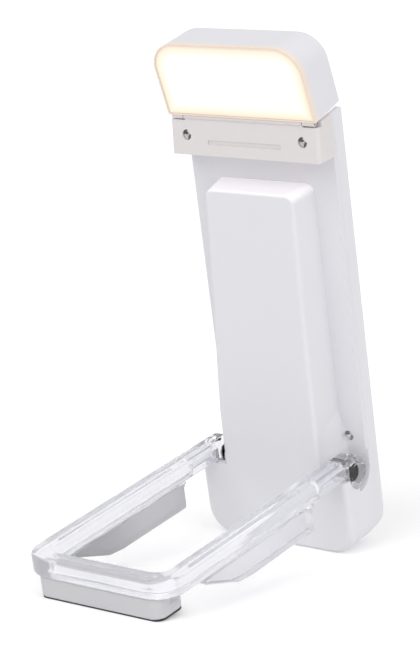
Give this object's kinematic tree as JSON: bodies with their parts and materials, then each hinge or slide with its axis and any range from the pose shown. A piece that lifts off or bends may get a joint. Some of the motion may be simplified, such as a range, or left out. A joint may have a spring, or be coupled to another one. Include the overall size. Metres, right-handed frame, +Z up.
{
  "type": "reading light",
  "caption": "Rechargeable clip-on reading light with a tilting lamp head, a flat white body and a fold-out clear frame that clips on pages or stands as a foot.",
  "frame": {"origin": "centre of the bounding box's underside, on the floor the light stands on", "axes": "+Z up, -Y to the side the lamp shines to and the frame points to, +X to the viewer's right"},
  "size_m": [0.0424, 0.0884, 0.1244],
  "materials": {
    "white_shell": "satin moulded",
    "white_button": "satin moulded",
    "white_shoe": "satin moulded",
    "dark_screw": "dark machined",
    "steel": "machined",
    "battery_pouch": "foil",
    "wire": "insulated",
    "circuit_board": "solder mask",
    "circuit_board_white": "white mask",
    "black_plastic": "moulded",
    "clear_lens": "clear",
    "flex_cable": "polyimide",
    "light_diffuser": "frosted, lit",
    "white_reflector": "white",
    "led_phosphor": "phosphor",
    "clear_plastic": "clear moulded",
    "dark_rubber": "soft"
  },
  "bodies": {
    "body": {"rear_shell": "white_shell", "front_cover": "white_shell", "neck_cover": "white_shell", "flank_screws": "dark_screw", "neck_screws": "dark_screw", "hinge_pins": "steel", "friction_washers": "steel", "battery": "battery_pouch", "battery_leads": "wire", "main_board": "circuit_board", "board_screws": "steel", "controller_chip": "black_plastic", "inductor": "black_plastic", "tact_switches": "steel", "status_led": "clear_lens", "light_pipe": "clear_lens", "usb_port": "steel", "head_cable": "flex_cable", "head_hinge_pin": "steel"},
    "head": {"lamp_housing": "white_shell", "diffuser": "light_diffuser", "reflector": "white_reflector", "led_board": "circuit_board_white", "leds": "led_phosphor"},
    "frame": {"clip_frame": "clear_plastic", "foot_shoe": "white_shoe", "foot_pad": "dark_rubber"},
    "power_key": {"power_button": "white_button"},
    "colour_key": {"colour_button": "white_button"}
  },
  "joints": [
    {"name": "head_tilt", "type": "hinge", "parent": "body", "child": "head", "pos_m": [0, 0.01189, 0.10398], "axis": [1, 0, 0], "range_deg": [-4.4, 75], "deforming": ["head_cable"]},
    {"name": "frame_fold", "type": "hinge", "parent": "body", "child": "frame", "pos_m": [0, 0.02963, 0.02018], "axis": [-1, 0, 0], "range_deg": [0, 90]},
    {"name": "power_press", "type": "slide", "parent": "body", "child": "power_key", "axis": [0, -0.9794, -0.2021], "range_m": [0, 0.00045], "stiffness_N_per_m": 600, "springref_m": -0.0005},
    {"name": "colour_press", "type": "slide", "parent": "body", "child": "colour_key", "axis": [0, -0.9794, -0.2021], "range_m": [0, 0.00045], "stiffness_N_per_m": 600, "springref_m": -0.0005}
  ]
}
